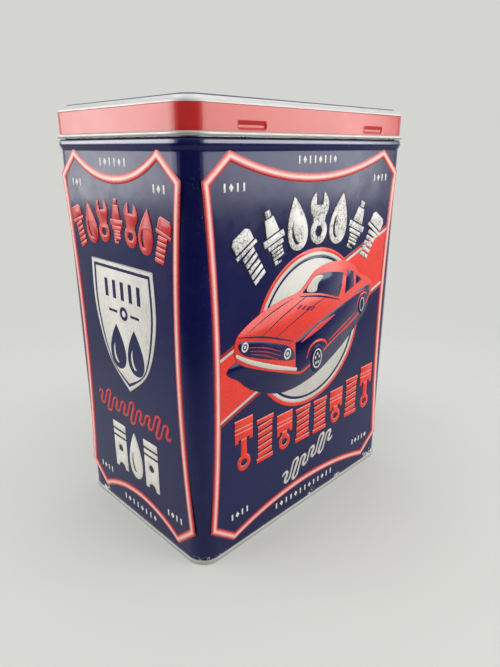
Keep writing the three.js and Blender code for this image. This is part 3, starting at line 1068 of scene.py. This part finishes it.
def badge(face):
    """A cream shield with a navy keyline, a row of bars, a small ring and two drops."""
    keyline = [badge_outline(-2.4), badge_outline(-4.2)]
    marks = [[rectangle(-18.5 + 8.4 * i, 153.0, -15.1 + 8.4 * i, 164.0)] for i in range(5)]
    marks += [[ring(0, 145.0, 4.2, 40), ring(0, 145.0, 2.0, 32)]]
    marks += [[rectangle(-16.0, 144.2, -7.0, 145.8)], [rectangle(7.0, 144.2, 16.0, 145.8)]]
    for u in (-9.5, 9.5):
        marks += shifted(shining_drop(17.0, 29.0), u, 108.0)
    return [
        relief(face, "badge", [[badge_outline(0.0)]], 0.5, 0.3, BRIGHT_CREAM),
        relief(face, "badge_keyline", [keyline], 0.53, 0.0, NAVY),
        relief(face, "badge_marks", marks, 0.53, 0.0, NAVY),
    ]


def foot_emblems(face):
    """A piston, a drop and a piston in cream."""
    shapes = []
    for u, emblem in ((-17.5, piston), (0.0, shining_drop), (17.5, piston)):
        shapes += shifted(emblem(14.5, 34.0), u, 32.5)
    return [
        drop_shadow(face, "foot_shadow", shapes, -1.2),
        relief(face, "foot_emblems", shapes, 0.5, 0.3, BRIGHT_CREAM),
    ]


# The stage, in metres

STAGE_PAPER = (0.335, 0.34, 0.325)
STAGE_GLOW = 0.28  # the part of the floor's brightness that no shadow takes away
BACKDROP = (0.66, 0.665, 0.635)
ROOM_LIGHT = (0.75, 0.76, 0.77)
PANEL_DISTANCE, PANEL_HEIGHT, PANEL_TALL = 0.85, 0.40, 0.54
PANEL_COLOUR = (1.0, 0.985, 0.975)


def build_stage():
    """A round pale floor that fades out into the pale background."""
    radius, sides = 0.8, 96
    fade_start, fade_end = 0.18, 0.5
    angles = [2 * math.pi * i / sides for i in range(sides)]
    mesh = bpy.data.meshes.new("stage")
    mesh.from_pydata([(radius * math.cos(a), radius * math.sin(a), 0) for a in angles], [], [range(sides)])
    material, tree, shader = new_material("stage_paper")
    distance = node(tree, "VectorMath", {0: place(tree)}, operation="LENGTH").outputs["Value"]
    inputs = {
        "Base Color": mix(tree, noise(tree, 3, 2.0), STAGE_PAPER, scaled(STAGE_PAPER, 1.04)),
        "Roughness": 0.9,
        "Specular IOR Level": 0.1,
        "Alpha": remap(tree, distance, fade_start, fade_end, 1.0, 0.0),
        "Emission Color": (*BACKDROP, 1),
        "Emission Strength": STAGE_GLOW,
    }
    feed(tree, shader, inputs)
    mesh.materials.append(material)
    stage = bpy.data.objects.new("stage", mesh)
    bpy.context.scene.collection.objects.link(stage)


def build_world():
    """A pale backdrop. What the can mirrors is dim on the camera's side and brighter behind the can."""
    world = bpy.data.worlds.new("studio")
    world.use_nodes = True
    tree = world.node_tree
    ray = node(tree, "LightPath", {}).outputs
    away = {0: node(tree, "TexCoord", {}).outputs["Generated"], 1: (0.6, 0.6, 0.6)}
    brightness = node(tree, "VectorMath", away, operation="DOT_PRODUCT").outputs["Value"]
    mirrored = remap(tree, brightness, -0.6, 0.6, 0.01, 0.9)
    room = mix(tree, ray["Is Glossy Ray"], ROOM_LIGHT, mirrored)
    backdrop = mix(tree, ray["Is Camera Ray"], room, BACKDROP)
    feed(tree, tree.nodes["Background"], {"Color": backdrop, "Strength": 1.0})
    bpy.context.scene.world = world


def area_light(name, position, target, width, tall, radiance, colour=(1.0, 1.0, 1.0)):
    """A light panel that faces the target and isn't seen by the camera."""
    light = bpy.data.lights.new(name, "AREA")
    light.shape = "RECTANGLE"
    light.size, light.size_y = width, tall
    light.energy = radiance * math.pi * width * tall
    light.color = colour
    obj = bpy.data.objects.new(name, light)
    obj.location = position
    obj.rotation_euler = (Vector(target) - Vector(position)).to_track_quat("-Z", "Y").to_euler()
    obj.visible_camera = False
    bpy.context.scene.collection.objects.link(obj)


def build_lights():
    """Two soft panels, each with a dim strip beside it, on either side of the can, and a panel overhead."""
    panels = [("left_panel", 143, 0.76, 4.8), ("left_strip", 176, 0.16, 1.0)]
    panels += [("right_panel", -57, 0.76, 5.4), ("right_strip", -90, 0.16, 1.0)]
    target = (0, 0, PANEL_HEIGHT)
    for name, degrees, width, radiance in panels:
        position = (*polar(PANEL_DISTANCE, degrees), PANEL_HEIGHT)
        area_light(name, position, target, width, PANEL_TALL, radiance, PANEL_COLOUR)
    area_light("top_panel", (0.1, 0.1, 1.3), (0, 0, 0), 1.3, 1.3, 1.5)
    bpy.context.scene.view_settings.view_transform = "Standard"


def build_camera():
    """A phone's camera, level with the lid and looking down a little across the near corner."""
    down, turn = math.radians(19.44), math.radians(-44.72)
    camera = bpy.data.cameras.new("camera")
    camera.sensor_width = 36.0
    camera.lens = 28.51
    camera.clip_start = 0.01
    obj = bpy.data.objects.new("camera", camera)
    obj.location = (-0.2488, -0.2607, 0.2368)
    obj.rotation_euler = (math.pi / 2 - down, 0, turn)
    bpy.context.scene.collection.objects.link(obj)
    bpy.context.scene.camera = obj


# The can

build_camera()

body = build_body()
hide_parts("body_shell")
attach(body, "body")

bottom = build_bottom()
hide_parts("bottom_end")
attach(bottom, "body")

lid = build_lid()
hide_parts("lid_shell")
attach(lid, "lid")

for side in ("left", "right"):
    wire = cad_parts["hinge_wire_" + side]
    wire.data.materials.clear()
    wire.data.materials.append(STEEL)

prints = {"front": wide_print, "back": wide_print, "left": narrow_print, "right": narrow_print}
for face, make_print in prints.items():
    for piece in make_print(face):
        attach(piece, "body")

build_stage()
build_world()
build_lights()
